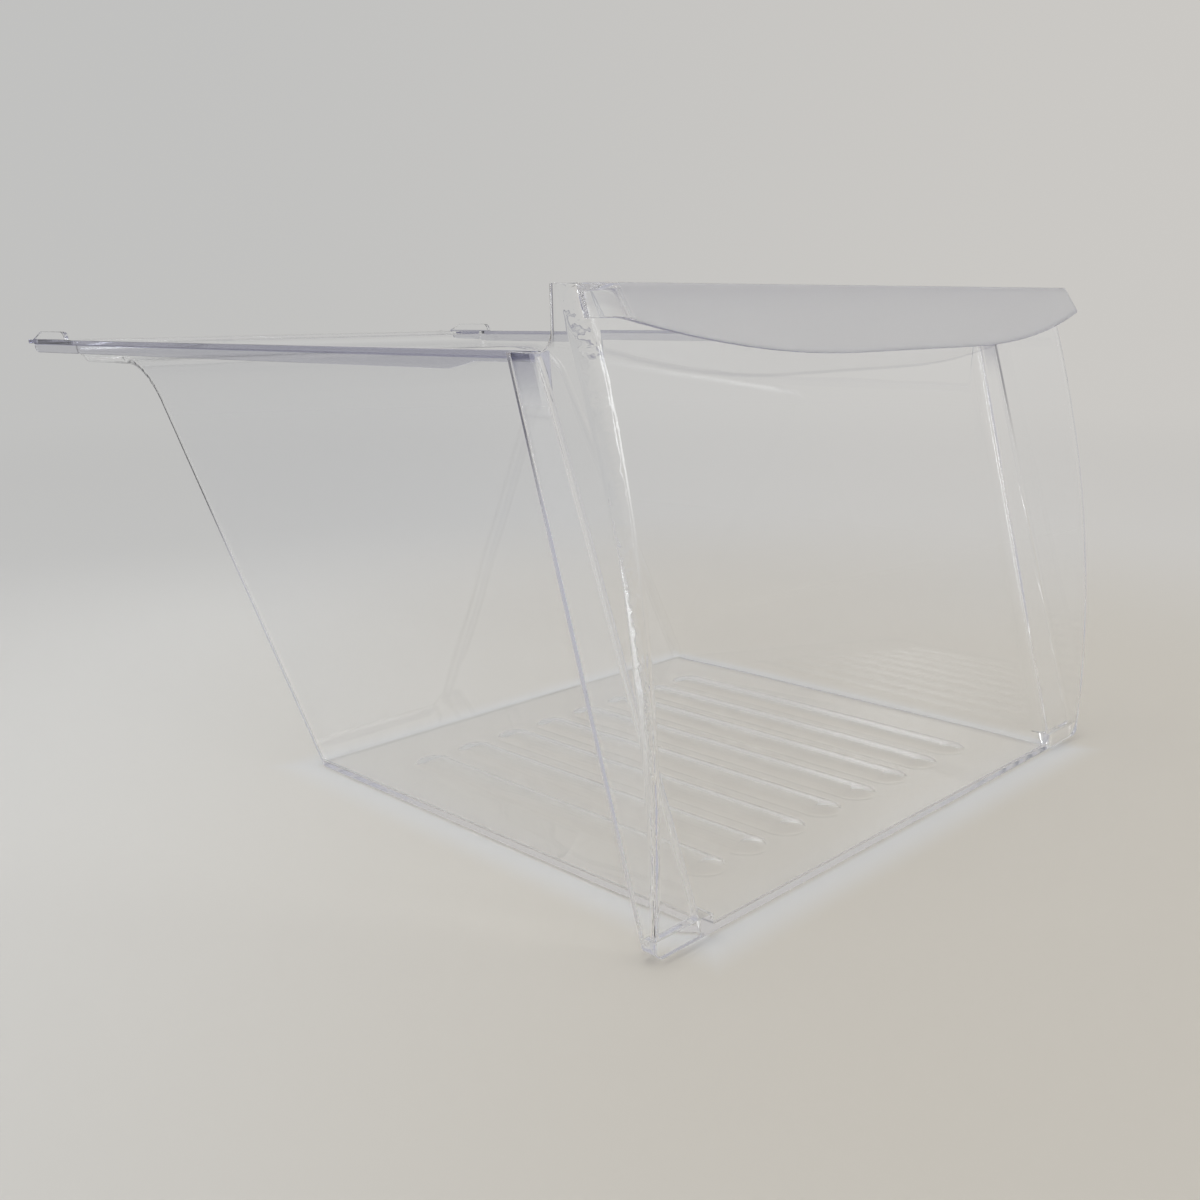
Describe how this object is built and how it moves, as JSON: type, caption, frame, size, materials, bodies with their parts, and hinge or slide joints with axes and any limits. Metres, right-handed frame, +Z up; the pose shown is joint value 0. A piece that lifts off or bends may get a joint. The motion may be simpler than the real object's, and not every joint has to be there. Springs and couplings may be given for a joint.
{
  "type": "refrigerator crisper drawer",
  "caption": "Clear one-piece refrigerator crisper drawer with a wide curved front, hooded finger lip, stepped side wings, leaning rear wall with a shelf, and side runners.",
  "frame": {"origin": "middle of the flat base that the drawer stands on", "axes": "+X to the right seen from the front, +Y towards the rear, +Z up"},
  "size_m": [0.3048, 0.4554, 0.2055],
  "materials": {
    "clear_plastic": "clear and polished, faintly cool grey"
  },
  "bodies": {
    "root": {"crisper_drawer": "clear_plastic"}
  },
  "joints": []
}
